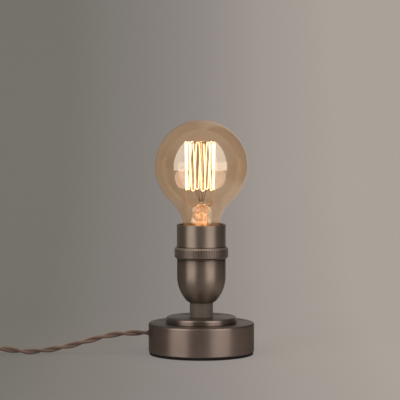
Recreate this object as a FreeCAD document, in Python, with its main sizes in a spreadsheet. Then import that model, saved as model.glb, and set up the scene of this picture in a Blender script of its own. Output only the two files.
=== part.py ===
import FreeCAD, Part
import Sketcher
import math
import os
from FreeCAD import Placement, Rotation, Vector

# A table lamp whose only light is one bare globe bulb. A round weighted base carries a thin
# gallery disc, a short stem and a cup-shaped screw lampholder; a hollow threaded tube runs up
# the middle and clamps them. A twisted two-core flex leaves the base at the side, runs
# through an inline rocker switch and ends, wound up, in a flat two-pin plug.
# The origin is the centre of the pad's underside, +Z is up, and the flex leaves towards -X.

doc = FreeCAD.newDocument("BareBulbLamp")
sheet = doc.addObject("Spreadsheet::Sheet", "Sizes")
nodes = []


class Size:
    """A length, and the formula that ties it to the sheet's cells."""

    def __init__(self, value, formula):
        self.value = float(value)
        self.formula = formula

    def __add__(self, other):
        other = as_size(other)
        return Size(self.value + other.value, f"({self.formula} + {other.formula})")

    def __sub__(self, other):
        other = as_size(other)
        return Size(self.value - other.value, f"({self.formula} - {other.formula})")

    def __mul__(self, other):
        other = as_size(other)
        return Size(self.value * other.value, f"({self.formula} * {other.formula})")

    def __truediv__(self, other):
        other = as_size(other)
        return Size(self.value / other.value, f"({self.formula} / {other.formula})")

    def __neg__(self):
        return Size(-self.value, f"(0 - {self.formula})")

    def root(self):
        return Size(math.sqrt(self.value), f"sqrt({self.formula})")


def as_size(number):
    return number if isinstance(number, Size) else Size(number, repr(float(number)))


def size(name, value):
    """Writes a driving dimension into the sheet and gives it back as a Size."""
    row = len(sheet.getUsedCells()) // 2 + 1
    sheet.set(f"A{row}", name)
    sheet.set(f"B{row}", str(value))
    sheet.setAlias(f"B{row}", name)
    return Size(value, f"Sizes.{name}")


# ---------------------------------------------------------------- driving dimensions, mm
# gaps between pieces
slip_gap = size("slip_gap", 0.2)
thread_gap = size("thread_gap", 0.05)
grip_gap = size("grip_gap", 0.05)

# base
pad_thickness = size("pad_thickness", 2.2)
pad_inset = size("pad_inset", 0.7)
base_radius = size("base_radius", 46.0)
base_height = size("base_height", 25.1)
base_wall = size("base_wall", 2.5)
base_roof = size("base_roof", 3.0)
base_top_rounding = size("base_top_rounding", 1.4)
base_foot_rounding = size("base_foot_rounding", 0.8)
plate_thickness = size("plate_thickness", 1.5)
weight_bore_radius = size("weight_bore_radius", 20.0)
weight_slot_width = size("weight_slot_width", 12.0)
plate_screw_circle = size("plate_screw_circle", 32.0)
plate_screw_radius = size("plate_screw_radius", 1.5)
plate_screw_head_radius = size("plate_screw_head_radius", 3.0)
plate_screw_reach = size("plate_screw_reach", 8.0)

# clamping tube, washers and nuts
tube_radius = size("tube_radius", 5.0)
tube_bore_radius = size("tube_bore_radius", 3.8)
tube_tail = size("tube_tail", 8.5)
tube_head = size("tube_head", 6.4)
washer_radius = size("washer_radius", 9.0)
washer_thickness = size("washer_thickness", 1.2)
nut_flats = size("nut_flats", 14.0)
nut_height = size("nut_height", 4.0)

# gallery disc and stem
disc_radius = size("disc_radius", 30.9)
disc_thickness = size("disc_thickness", 5.3)
disc_rounding = size("disc_rounding", 1.9)
disc_foot_chamfer = size("disc_foot_chamfer", 0.5)
stem_radius = size("stem_radius", 10.1)
stem_length = size("stem_length", 12.4)

# lampholder
cup_radius = size("cup_radius", 21.15)
cup_foot_radius = size("cup_foot_radius", 12.6)
cup_bowl_height = size("cup_bowl_height", 23.0)
cup_foot_rise = size("cup_foot_rise", 1.2)
cup_straight = size("cup_straight", 15.5)
cup_wall = size("cup_wall", 2.2)
cup_floor = size("cup_floor", 1.8)
collar_radius = size("collar_radius", 22.0)
collar_height = size("collar_height", 6.7)
ring_radius = size("ring_radius", 23.4)
ring_height = size("ring_height", 10.0)
ring_recess = size("ring_recess", 1.0)
ring_chamfer = size("ring_chamfer", 1.5)
rib_count = size("rib_count", 64)
rib_depth = size("rib_depth", 0.35)
skirt_radius = size("skirt_radius", 21.35)
skirt_wall = size("skirt_wall", 1.5)
skirt_height = size("skirt_height", 21.8)
skirt_foot_wall = size("skirt_foot_wall", 3.2)
skirt_foot_height = size("skirt_foot_height", 3.6)
skirt_lip_height = size("skirt_lip_height", 1.2)

# ceramic insert, its terminals and the bulb contacts
insert_flange_height = size("insert_flange_height", 6.2)
insert_body_radius = size("insert_body_radius", 17.2)
insert_body_height = size("insert_body_height", 21.0)
well_depth = size("well_depth", 4.5)
terminal_offset = size("terminal_offset", 11.0)
terminal_width = size("terminal_width", 5.0)
terminal_length = size("terminal_length", 9.0)
terminal_height = size("terminal_height", 6.5)
terminal_screw_radius = size("terminal_screw_radius", 1.4)
terminal_screw_offset = size("terminal_screw_offset", 2.4)
terminal_entry_offset = size("terminal_entry_offset", 2.0)
contact_height = size("contact_height", 2.0)
contact_thickness = size("contact_thickness", 0.5)
contact_width = size("contact_width", 6.0)
shell_length = size("shell_length", 24.0)
shell_wall = size("shell_wall", 1.6)

# screw thread of the bulb cap and of the holder's shell
thread_pitch = size("thread_pitch", 3.629)
cap_root_radius = size("cap_root_radius", 12.0)
cap_crest_radius = size("cap_crest_radius", 13.1)
thread_play = size("thread_play", 0.2)
ridge_half_width = size("ridge_half_width", 1.3)
cap_thread_turns = size("cap_thread_turns", 3.5)

# bulb
tip_height = size("tip_height", 1.5)
tip_radius = size("tip_radius", 4.5)
insulator_height = size("insulator_height", 3.6)
cap_height = size("cap_height", 27.0)
cap_wall = size("cap_wall", 0.5)
cap_flare_radius = size("cap_flare_radius", 14.6)
globe_radius = size("globe_radius", 40.55)
globe_rise = size("globe_rise", 81.0)
neck_radius = size("neck_radius", 15.8)
neck_rise = size("neck_rise", 30.4)
neck_curve = size("neck_curve", 33.0)
glass_wall = size("glass_wall", 0.8)
mount_radius = size("mount_radius", 5.9)
mount_rise = size("mount_rise", 48.9)
rod_radius = size("rod_radius", 1.2)
button_radius = size("button_radius", 2.3)
button_height = size("button_height", 3.0)
rod_reach = size("rod_reach", 1.2)

# filament cage
cage_radius = size("cage_radius", 13.0)
cage_aside = size("cage_aside", 1.2)
cage_foot_radius = size("cage_foot_radius", 12.2)
cage_foot_rise = size("cage_foot_rise", 60.5)
cage_height = size("cage_height", 41.6)
filament_radius = size("filament_radius", 0.4)
hook_width = size("hook_width", 2.5)
support_radius = size("support_radius", 0.3)
lead_radius = size("lead_radius", 0.5)

# flex
flex_diameter = size("flex_diameter", 5.2)
core_radius = size("core_radius", 1.25)
flex_rise = size("flex_rise", 18.1)
bush_radius = size("bush_radius", 4.2)
bush_length = size("bush_length", 24.0)
bush_tail_radius = size("bush_tail_radius", 3.3)
stop_length = size("stop_length", 4.0)
stop_radius = size("stop_radius", 4.6)
coil_inner_radius = size("coil_inner_radius", 20.8)
coil_step = size("coil_step", 5.75)

# inline switch
switch_length = size("switch_length", 60.0)
switch_width = size("switch_width", 26.0)
switch_height = size("switch_height", 15.0)
switch_end_width = size("switch_end_width", 11.0)
switch_shoulder = size("switch_shoulder", 10.0)
switch_wall = size("switch_wall", 1.8)
switch_chamfer = size("switch_chamfer", 1.2)
switch_flex_rise = size("switch_flex_rise", 6.5)
rocker_length = size("rocker_length", 18.8)
rocker_width = size("rocker_width", 10.0)
rocker_play = size("rocker_play", 0.8)
rocker_side_play = size("rocker_side_play", 0.3)
rocker_rise = size("rocker_rise", 4.4)
rocker_dip = size("rocker_dip", 1.3)
rocker_pivot_rise = size("rocker_pivot_rise", 11.0)
rocker_tilt = size("rocker_tilt", 8.0)
axle_radius = size("axle_radius", 1.0)
axle_reach = size("axle_reach", 1.8)
axle_play = size("axle_play", 0.05)
strip_length = size("strip_length", 22.0)
strip_width = size("strip_width", 3.0)
strip_height = size("strip_height", 3.5)
strip_offset = size("strip_offset", 5.5)
cheek_thickness = size("cheek_thickness", 2.0)
switch_screw_radius = size("switch_screw_radius", 1.4)
switch_screw_head_radius = size("switch_screw_head_radius", 2.5)

# plug
plug_width = size("plug_width", 35.3)
plug_thickness = size("plug_thickness", 13.7)
plug_body_length = size("plug_body_length", 35.0)
plug_shoulder = size("plug_shoulder", 14.0)
plug_neck_width = size("plug_neck_width", 11.0)
plug_rounding = size("plug_rounding", 3.0)
plug_nose_length = size("plug_nose_length", 12.0)
plug_nose_radius = size("plug_nose_radius", 3.9)
plug_nose_root_radius = size("plug_nose_root_radius", 5.2)
pin_radius = size("pin_radius", 2.0)
pin_length = size("pin_length", 19.0)
pin_spacing = size("pin_spacing", 18.6)
pin_root = size("pin_root", 8.0)
pin_root_radius = size("pin_root_radius", 2.4)

# ---------------------------------------------------------------- levels and derived sizes
base_bottom = pad_thickness
base_top = base_bottom + base_height
base_roof_under = base_top - base_roof
base_cavity_radius = base_radius - base_wall
plate_top = base_bottom + plate_thickness
washer_bottom = base_roof_under - washer_thickness
tube_bottom = base_roof_under - tube_tail
disc_top = base_top + disc_thickness
stem_top = disc_top + stem_length
cup_shoulder = stem_top + cup_bowl_height
cup_inside_floor = stem_top + cup_floor
tube_top = cup_inside_floor + tube_head
ring_bottom = cup_shoulder + cup_straight
collar_bottom = ring_bottom + ring_recess
skirt_bottom = collar_bottom + collar_height
skirt_top = skirt_bottom + skirt_height
ring_top = ring_bottom + ring_height
insert_ledge = skirt_bottom - insert_flange_height
well_floor = insert_ledge - well_depth
insert_bottom = insert_ledge - insert_body_height
foot_drop = cup_bowl_height - cup_foot_rise
foot_inset = cup_radius - cup_foot_radius
cup_bowl_radius = (foot_inset * foot_inset + foot_drop * foot_drop) / (foot_inset * 2)
inner_bowl = cup_bowl_radius - cup_wall
inner_drop = cup_shoulder - cup_inside_floor
bowl_centre = cup_radius - cup_bowl_radius
bowl_reach = inner_bowl * inner_bowl - inner_drop * inner_drop
cup_floor_radius = bowl_centre + bowl_reach.root()
tube_hole_radius = tube_radius + thread_gap
tip_bottom = well_floor + contact_height
insulator_bottom = tip_bottom + tip_height
cap_bottom = insulator_bottom + insulator_height
cap_top = tip_bottom + cap_height
cap_bore_radius = cap_root_radius - cap_wall
ridge_start = cap_bottom + ridge_half_width + 0.9
shell_bore_radius = cap_root_radius + thread_play
shell_groove_radius = cap_crest_radius + thread_play
shell_outer_radius = shell_bore_radius + shell_wall
well_radius = shell_outer_radius + slip_gap
globe_centre = tip_bottom + globe_rise
neck_bottom = tip_bottom + neck_rise
mount_top = tip_bottom + mount_rise
cage_foot = tip_bottom + cage_foot_rise
cage_top = cage_foot + cage_height
flex_radius = flex_diameter / 2
flex_hole_radius = flex_radius + grip_gap
bush_inner_end = -(base_radius - bush_length)
flex_start = bush_inner_end + stop_length


# ---------------------------------------------------------------- ways of making pieces
def keep(piece, label):
    """Gives a finished piece the label that names its file."""
    piece.Label = label
    nodes.append(label)
    return piece


def bind(piece, **formulas):
    """Ties properties to sizes; a double underscore stands for a dot in the name."""
    for name, amount in formulas.items():
        piece.setExpression(name.replace("__", "."), as_size(amount).formula)


def place(piece, x=None, y=None, z=None):
    for axis, amount in (("x", x), ("y", y), ("z", z)):
        if amount is not None:
            piece.setExpression(f"Placement.Base.{axis}", as_size(amount).formula)


def origin_plane(body, role):
    return next(feature for feature in body.Origin.OriginFeatures if feature.Role == role)


def new_sketch(body, name, role="XZ_Plane", lift=None, rise=None):
    sketch = body.newObject("Sketcher::SketchObject", name)
    sketch.AttachmentSupport = [(origin_plane(body, role), "")]
    sketch.MapMode = "FlatFace"
    if lift is not None:
        sketch.setExpression("AttachmentOffset.Base.z", as_size(lift).formula)
    if rise is not None:
        sketch.setExpression("AttachmentOffset.Base.y", as_size(rise).formula)
    return sketch


def arc_between(start, end, radius, side):
    """An arc from start to end that bulges to the left (1) or right (-1) of the way."""
    chord = end - start
    left = Vector(-chord.y, chord.x, 0).normalize()
    drop = math.sqrt(max(radius**2 - (chord.Length / 2) ** 2, 0.0))
    centre = (start + end) / 2 - left * (side * drop)
    first, last = (end, start) if side > 0 else (start, end)
    angles = [math.atan2(spot.y - centre.y, spot.x - centre.x) for spot in (first, last)]
    circle = Part.Circle(centre, Vector(0, 0, 1), radius)
    return Part.ArcOfCircle(circle, angles[0], angles[1])


def fix_coordinate(sketch, kind, edge, end, amount):
    """Ties one coordinate of an edge's end to a size, or lays it on the axis at nought."""
    if abs(amount.value) < 1e-9:
        axis = -2 if kind == "DistanceX" else -1
        sketch.addConstraint(Sketcher.Constraint("PointOnObject", edge, end, axis))
        return
    rule = Sketcher.Constraint(kind, -1, 1, edge, end, amount.value)
    number = sketch.addConstraint(rule)
    sketch.setExpression(f"Constraints[{number}]", amount.formula)


def outline(sketch, corners):
    """Draws a closed outline. A corner is (across, up) or (across, up, radius, side), where
    the radius and side are those of the arc that leaves it."""
    corners = [(as_size(c[0]), as_size(c[1]), *c[2:]) for c in corners]
    spots = [Vector(corner[0].value, corner[1].value, 0) for corner in corners]
    first_edge = sketch.GeometryCount
    ends = []
    for index, corner in enumerate(corners):
        start, end = spots[index], spots[(index + 1) % len(spots)]
        if len(corner) == 2:
            sketch.addGeometry(Part.LineSegment(start, end))
            ends.append((1, 2))
            continue
        radius = as_size(corner[2])
        edge = sketch.addGeometry(arc_between(start, end, radius.value, corner[3]))
        ends.append((2, 1) if corner[3] > 0 else (1, 2))
        number = sketch.addConstraint(Sketcher.Constraint("Radius", edge, radius.value))
        sketch.setExpression(f"Constraints[{number}]", radius.formula)
    for index, corner in enumerate(corners):
        edge, before = first_edge + index, first_edge + (index - 1) % len(corners)
        start, last = ends[index][0], ends[(index - 1) % len(corners)][1]
        sketch.addConstraint(Sketcher.Constraint("Coincident", before, last, edge, start))
        fix_coordinate(sketch, "DistanceX", edge, start, corner[0])
        fix_coordinate(sketch, "DistanceY", edge, start, corner[1])


def rectangle(sketch, low_x, low_y, high_x, high_y):
    outline(sketch, [(low_x, low_y), (high_x, low_y), (high_x, high_y), (low_x, high_y)])


def circle(sketch, across, up, radius):
    across, up, radius = as_size(across), as_size(up), as_size(radius)
    centre = Vector(across.value, up.value, 0)
    edge = sketch.addGeometry(Part.Circle(centre, Vector(0, 0, 1), radius.value))
    fix_coordinate(sketch, "DistanceX", edge, 3, across)
    fix_coordinate(sketch, "DistanceY", edge, 3, up)
    number = sketch.addConstraint(Sketcher.Constraint("Radius", edge, radius.value))
    sketch.setExpression(f"Constraints[{number}]", radius.formula)


def turn_about(body, sketch, axis):
    turning = body.newObject("PartDesign::Revolution", f"{sketch.Name}_turning")
    turning.Profile = sketch
    turning.ReferenceAxis = (sketch, [axis])
    turning.Angle = 360


def turned(name, corners):
    """A body turned about the vertical axis from its half section."""
    body = doc.addObject("PartDesign::Body", name)
    sketch = new_sketch(body, f"{name}_section")
    outline(sketch, corners)
    turn_about(body, sketch, "V_Axis")
    return body


def padded(body, sketch, length, midplane=False, reverse=False):
    pad = body.newObject("PartDesign::Pad", f"{sketch.Name}_pad")
    pad.Profile = sketch
    pad.SideType = "Symmetric" if midplane else "One side"
    pad.Reversed = reverse
    bind(pad, Length=length)
    return pad


def pocketed(body, sketch, length, midplane=False, reverse=False):
    """Cuts a sketch into a body, and makes sure that something was cut away."""
    doc.recompute()
    before = body.Shape.Volume
    pocket = body.newObject("PartDesign::Pocket", f"{sketch.Name}_cut")
    pocket.Profile = sketch
    pocket.SideType = "Symmetric" if midplane else "One side"
    pocket.Reversed = reverse
    bind(pocket, Length=length)
    doc.recompute()
    if body.Shape.Volume >= before - 1e-6:
        raise ValueError(f"{pocket.Name} cuts nothing")
    return pocket


def cylinder(name, radius, height, x=None, y=None, z=None):
    piece = doc.addObject("Part::Cylinder", name)
    bind(piece, Radius=radius, Height=height)
    place(piece, x, y, z)
    return piece


def cone(name, low_radius, high_radius, height, x=None, y=None, z=None):
    piece = doc.addObject("Part::Cone", name)
    bind(piece, Radius1=low_radius, Radius2=high_radius, Height=height)
    place(piece, x, y, z)
    return piece


def block(name, length, width, height, x, y, z):
    piece = doc.addObject("Part::Box", name)
    bind(piece, Length=length, Width=width, Height=height)
    place(piece, x, y, z)
    return piece


def fused(name, pieces):
    union = doc.addObject("Part::MultiFuse", name)
    union.Shapes = pieces
    return union


def cut(name, base, tools):
    difference = doc.addObject("Part::Cut", name)
    difference.Base = base
    difference.Tool = tools[0] if len(tools) == 1 else fused(f"{name}_tools", tools)
    return difference


def group(name, pieces):
    """Several alike solids that are kept as one node."""
    bundle = doc.addObject("Part::Compound", name)
    bundle.Links = pieces
    return bundle


def lathe_ring(name, outer_radius, bore_radius, height, z):
    """A plain washer-like ring."""
    outer = cylinder(f"{name}_rim", outer_radius, height, z=z)
    bore = cylinder(f"{name}_bore", bore_radius, height, z=z)
    return cut(name, outer, [bore])


def hexagon_nut(name, z):
    blank = doc.addObject("Part::Prism", f"{name}_blank")
    blank.Polygon = 6
    bind(blank, Circumradius=nut_flats / math.sqrt(3), Height=nut_height)
    place(blank, z=z)
    bore = cylinder(f"{name}_bore", tube_hole_radius, nut_height, z=z)
    return cut(name, blank, [bore])


def rounded_edges(points):
    """Straight runs joined by tangent arcs, as large as the runs beside them allow."""
    edges, radii = [], []
    start = points[0]
    for before, corner, after in zip(points, points[1:], points[2:]):
        arriving, leaving = corner - before, after - corner
        half_turn = arriving.getAngle(leaving) / 2
        back = 0.45 * min(arriving.Length, leaving.Length)
        radius = back / math.tan(half_turn)
        first = corner - arriving.normalize() * back
        last = corner + leaving.normalize() * back
        toward = ((first + last) / 2 - corner).normalize()
        middle = corner + toward * (radius / math.cos(half_turn) - radius)
        edges.append(Part.LineSegment(start, first).toShape())
        edges.append(Part.Arc(first, middle, last).toShape())
        radii.append(radius)
        start = last
    edges.append(Part.LineSegment(start, points[-1]).toShape())
    return edges, radii


def tube_along(edges, radius):
    """A round solid along a smooth path, checked against its section times its length."""
    path = Part.Wire(edges)
    start = path.Vertexes[0].Point
    heading = edges[0].tangentAt(edges[0].FirstParameter)
    ring = Part.Wire(Part.makeCircle(radius, start, heading))
    solid = path.makePipeShell([ring], True, False)
    expected = math.pi * radius**2 * path.Length
    if abs(solid.Volume - expected) > 0.01 * expected:
        raise ValueError("the tube's volume is not its section times its length")
    return solid, path.Length


def feature(name, shape):
    piece = doc.addObject("Part::Feature", name)
    piece.Shape = shape
    return piece


# ---------------------------------------------------------------- base
def make_pad():
    pad = cylinder("pad", base_radius - pad_inset, pad_thickness)
    keep(pad, "base_pad")


def make_base_shell():
    """An upturned dish with a hole for the tube in its roof and one for the flex."""
    top, foot = base_top_rounding, base_foot_rounding
    body = turned(
        "base_shell_body",
        [
            (base_cavity_radius, base_bottom),
            (base_radius - foot, base_bottom, foot, -1),
            (base_radius, base_bottom + foot),
            (base_radius, base_top - top, top, -1),
            (base_radius - top, base_top),
            (tube_hole_radius, base_top),
            (tube_hole_radius, base_roof_under),
            (base_cavity_radius, base_roof_under),
        ],
    )
    hole = new_sketch(body, "flex_hole", "YZ_Plane")
    circle(hole, 0, flex_rise, bush_radius + grip_gap)
    pocketed(body, hole, base_radius + 1, reverse=False)
    keep(body, "base_shell")


def screw_places():
    """The three plate screws, evenly round the circle and clear of the flex slot."""
    for turn in (0, 120, 240):
        angle = math.radians(turn)
        x = plate_screw_circle * math.cos(angle)
        y = plate_screw_circle * math.sin(angle)
        yield turn, x, y


def make_plate_and_screws():
    plate_radius = base_cavity_radius - slip_gap
    plate = cylinder("plate_blank", plate_radius, plate_thickness, z=base_bottom)
    seats, screws = [], []
    for turn, x, y in screw_places():
        head = cone(
            f"screw_head_{turn}",
            plate_screw_head_radius,
            plate_screw_radius,
            plate_thickness,
            x,
            y,
            base_bottom,
        )
        shank = cylinder(
            f"screw_shank_{turn}", plate_screw_radius, plate_screw_reach, x, y, plate_top
        )
        seat = cone(
            f"screw_seat_{turn}",
            plate_screw_head_radius + thread_gap,
            plate_screw_radius + thread_gap,
            plate_thickness,
            x,
            y,
            base_bottom,
        )
        seats.append(seat)
        screws.append(fused(f"screw_{turn}", [head, shank]))
    keep(cut("plate", plate, seats), "bottom_plate")
    keep(group("screws", screws), "plate_screws")


def make_weight():
    """A cast ring with a slot through which the flex reaches the middle."""
    outer_radius = base_cavity_radius - slip_gap
    height = base_roof_under - slip_gap - plate_top
    blank = cylinder("weight_blank", outer_radius, height, z=plate_top)
    bore = cylinder("weight_bore", weight_bore_radius, height, z=plate_top)
    slot_y = -(weight_slot_width / 2)
    slot = block(
        "weight_slot", base_radius, weight_slot_width, height, -base_radius, slot_y, plate_top
    )
    holes = [
        cylinder(
            f"weight_hole_{turn}",
            plate_screw_radius + thread_gap,
            plate_screw_reach + 1,
            x,
            y,
            plate_top,
        )
        for turn, x, y in screw_places()
    ]
    keep(cut("weight", blank, [bore, slot, *holes]), "base_weight")


def make_tube_and_nuts():
    length = tube_top - tube_bottom
    outer = cylinder("tube_outer", tube_radius, length, z=tube_bottom)
    bore = cylinder("tube_bore", tube_bore_radius, length, z=tube_bottom)
    keep(cut("tube", outer, [bore]), "threaded_tube")
    low_washer = lathe_ring(
        "low_washer", washer_radius, tube_hole_radius, washer_thickness, washer_bottom
    )
    keep(low_washer, "base_washer")
    keep(hexagon_nut("low_nut", washer_bottom - nut_height), "base_nut")
    high_washer = lathe_ring(
        "high_washer",
        cup_floor_radius - slip_gap,
        tube_hole_radius,
        washer_thickness,
        cup_inside_floor,
    )
    keep(high_washer, "holder_washer")
    keep(hexagon_nut("high_nut", cup_inside_floor + washer_thickness), "holder_nut")


# ---------------------------------------------------------------- disc and stem
def make_disc():
    body = turned(
        "disc_body",
        [
            (tube_hole_radius, base_top),
            (disc_radius - disc_foot_chamfer, base_top),
            (disc_radius, base_top + disc_foot_chamfer),
            (disc_radius, disc_top - disc_rounding, disc_rounding, -1),
            (disc_radius - disc_rounding, disc_top),
            (tube_hole_radius, disc_top),
        ],
    )
    keep(body, "gallery_disc")


def make_stem():
    stem = lathe_ring("stem", stem_radius, tube_hole_radius, stem_length, disc_top)
    keep(stem, "stem_spacer")


# ---------------------------------------------------------------- lampholder
def make_cup():
    """A round-bottomed cup with a ledge inside for the ceramic and a threaded collar."""
    bore = cup_radius - cup_wall
    ledge_bore = collar_radius - cup_wall
    body = turned(
        "cup_body",
        [
            (tube_hole_radius, stem_top),
            (stem_radius + 0.3, stem_top),
            (cup_foot_radius, stem_top + cup_foot_rise, cup_bowl_radius, -1),
            (cup_radius, cup_shoulder),
            (cup_radius, collar_bottom),
            (collar_radius, collar_bottom),
            (collar_radius, skirt_bottom),
            (ledge_bore, skirt_bottom),
            (ledge_bore, insert_ledge),
            (bore, insert_ledge),
            (bore, cup_shoulder, inner_bowl, 1),
            (cup_floor_radius, cup_inside_floor),
            (tube_hole_radius, cup_inside_floor),
        ],
    )
    keep(body, "holder_cup")


def make_ring():
    """A ribbed union ring: it screws on the cup's collar and holds the skirt's lip down."""
    lip_top = skirt_bottom + skirt_lip_height + slip_gap
    bore = collar_radius + thread_gap
    body = turned(
        "ring_body",
        [
            (bore, ring_bottom),
            (ring_radius - ring_chamfer, ring_bottom),
            (ring_radius, ring_bottom + ring_chamfer),
            (ring_radius, ring_top - ring_chamfer),
            (ring_radius - ring_chamfer, ring_top),
            (skirt_radius + thread_gap, ring_top),
            (skirt_radius + thread_gap, lip_top),
            (bore, lip_top),
        ],
    )
    notch = new_sketch(body, "rib_notch", "XY_Plane", lift=ring_bottom + ring_chamfer)
    mouth = rib_depth * 1.2
    outline(
        notch,
        [
            (ring_radius - rib_depth, 0),
            (ring_radius + rib_depth, -mouth),
            (ring_radius + rib_depth, mouth),
        ],
    )
    height = ring_height - ring_chamfer * 2
    first = pocketed(body, notch, height, reverse=True)
    pattern = body.newObject("PartDesign::PolarPattern", "ribs")
    pattern.Originals = [first]
    pattern.Axis = (notch, ["N_Axis"])
    pattern.Angle = 360
    bind(pattern, Occurrences=rib_count)
    body.Tip = pattern
    keep(body, "holder_ring")


def make_skirt():
    foot_bore = skirt_radius - skirt_foot_wall
    bore = skirt_radius - skirt_wall
    lip_radius = collar_radius - slip_gap / 2
    lip_top = skirt_bottom + skirt_lip_height
    foot_top = skirt_bottom + skirt_foot_height
    body = turned(
        "skirt_body",
        [
            (foot_bore, skirt_bottom),
            (lip_radius, skirt_bottom),
            (lip_radius, lip_top),
            (skirt_radius, lip_top),
            (skirt_radius, skirt_top),
            (bore, skirt_top),
            (bore, foot_top),
            (foot_bore, foot_top),
        ],
    )
    keep(body, "holder_skirt")


def make_insert():
    """The ceramic: a flange that the skirt clamps, a well for the shell, terminal pockets."""
    flange_radius = collar_radius - cup_wall - slip_gap
    body = turned(
        "insert_body",
        [
            (0, insert_bottom),
            (insert_body_radius, insert_bottom),
            (insert_body_radius, insert_ledge),
            (flange_radius, insert_ledge),
            (flange_radius, skirt_bottom - thread_gap),
            (well_radius, skirt_bottom - thread_gap),
            (well_radius, well_floor),
            (0, well_floor),
        ],
    )
    pockets = new_sketch(body, "terminal_pockets", "XY_Plane", lift=insert_bottom)
    for side in (-1, 1):
        middle = terminal_offset * side
        half_width = terminal_width / 2 + slip_gap
        half_length = terminal_length / 2 + slip_gap
        rectangle(
            pockets,
            -half_length,
            middle - half_width,
            half_length,
            middle + half_width,
        )
    pocketed(body, pockets, terminal_height + slip_gap, reverse=True)
    keep(body, "ceramic_insert")


def make_terminals():
    blocks, screws = [], []
    for side, name in ((-1, "neutral"), (1, "live")):
        middle = terminal_offset * side
        blank = block(
            f"{name}_block",
            terminal_length,
            terminal_width,
            terminal_height,
            -(terminal_length / 2),
            middle - terminal_width / 2,
            insert_bottom,
        )
        drill = cylinder(
            f"{name}_drill",
            terminal_screw_radius + thread_gap,
            terminal_height - 1,
            terminal_screw_offset,
            middle,
            insert_bottom,
        )
        blocks.append(cut(f"{name}_terminal", blank, [drill]))
        shank = cylinder(
            f"{name}_shank",
            terminal_screw_radius,
            terminal_height - 1.5,
            terminal_screw_offset,
            middle,
            insert_bottom,
        )
        head = cylinder(
            f"{name}_head",
            terminal_screw_radius * 1.5,
            1.4,
            terminal_screw_offset,
            middle,
            insert_bottom - 1.4,
        )
        screws.append(fused(f"{name}_screw", [shank, head]))
    keep(group("terminals", blocks), "terminal_blocks")
    keep(group("terminal_screw_pair", screws), "terminal_screws")


def make_contact():
    """A bent brass leaf: its foot lies in the well and its free end meets the bulb's tip."""
    body = doc.addObject("PartDesign::Body", "contact_body")
    sketch = new_sketch(body, "contact_side")
    leaf = contact_thickness
    reach = tip_radius + 4.0
    top = tip_bottom - thread_gap
    outline(
        sketch,
        [
            (-reach, well_floor),
            (-1, well_floor),
            (-1, well_floor + leaf),
            (-reach + 2.4, well_floor + leaf),
            (-tip_radius + 1.5, top - leaf),
            (tip_radius - 1, top - leaf),
            (tip_radius - 1, top),
            (-tip_radius + 1, top),
            (-reach, well_floor + leaf * 2),
        ],
    )
    padded(body, sketch, contact_width, midplane=True)
    keep(body, "centre_contact")


def ridge(sketch, inner, root, crest, half_width, level):
    """The rounded section of a thread's ridge or groove: an arc from flank to flank."""
    rise = crest - root
    bow = (half_width * half_width + rise * rise) / (rise * 2)
    outline(
        sketch,
        [
            (inner, level - half_width),
            (root, level - half_width, bow, -1),
            (root, level + half_width),
            (inner, level + half_width),
        ],
    )


def threaded(body, kind, name, sketch, turns):
    helix = body.newObject(f"PartDesign::{kind}", name)
    helix.Profile = sketch
    helix.ReferenceAxis = (sketch, ["V_Axis"])
    helix.Mode = 1
    bind(helix, Pitch=thread_pitch, Turns=turns)
    return helix


def make_screw_shell():
    """The holder's brass shell, with a rounded female thread from end to end."""
    shell_top = well_floor + shell_length
    body = turned(
        "shell_body",
        [
            (shell_bore_radius, well_floor),
            (shell_outer_radius, well_floor),
            (shell_outer_radius, shell_top),
            (shell_bore_radius, shell_top),
        ],
    )
    turns_below = 3
    groove = new_sketch(body, "groove_section")
    ridge(
        groove,
        shell_bore_radius - 0.4,
        shell_bore_radius,
        shell_groove_radius,
        ridge_half_width + thread_play,
        ridge_start - thread_pitch * turns_below,
    )
    doc.recompute()
    turns = (shell_top - ridge_start + ridge_half_width * 2) / thread_pitch + turns_below
    threaded(body, "SubtractiveHelix", "shell_thread", groove, turns)
    keep(body, "screw_shell")


# ---------------------------------------------------------------- bulb
def make_tip():
    body = turned(
        "tip_body",
        [
            (0, tip_bottom),
            (tip_radius - 1, tip_bottom),
            (tip_radius, tip_bottom + tip_height / 2),
            (tip_radius, insulator_bottom),
            (0, insulator_bottom),
        ],
    )
    keep(body, "bulb_contact")


def make_insulator():
    top_radius = cap_bore_radius - cap_wall
    body = turned(
        "insulator_body",
        [
            (0, insulator_bottom),
            (tip_radius + 0.8, insulator_bottom),
            (top_radius, cap_bottom - thread_gap),
            (top_radius - cap_wall, cap_bottom - thread_gap),
            (top_radius - cap_wall, cap_bottom + 1.5),
            (0, cap_bottom + 1.5),
        ],
    )
    keep(body, "bulb_insulator")


def make_cap():
    """The brass screw cap of the bulb: a thin cup with a rounded male thread."""
    foot_bore = cap_bore_radius - cap_wall * 2 + thread_gap
    flare_bottom = cap_top - 4
    body = turned(
        "cap_body",
        [
            (foot_bore, cap_bottom),
            (cap_root_radius - 0.7, cap_bottom),
            (cap_root_radius, cap_bottom + 1),
            (cap_root_radius, flare_bottom),
            (cap_root_radius + 1.4, flare_bottom + 1),
            (cap_flare_radius, cap_top),
            (cap_flare_radius - cap_wall, cap_top),
            (cap_root_radius + 0.9, flare_bottom + 1),
            (cap_bore_radius, flare_bottom),
            (cap_bore_radius, cap_bottom + 1),
            (foot_bore, cap_bottom + 1),
        ],
    )
    section = new_sketch(body, "ridge_section")
    ridge(
        section,
        cap_root_radius - 0.3,
        cap_root_radius,
        cap_crest_radius,
        ridge_half_width,
        ridge_start,
    )
    doc.recompute()
    threaded(body, "AdditiveHelix", "cap_thread", section, cap_thread_turns)
    keep(body, "bulb_cap")


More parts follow.
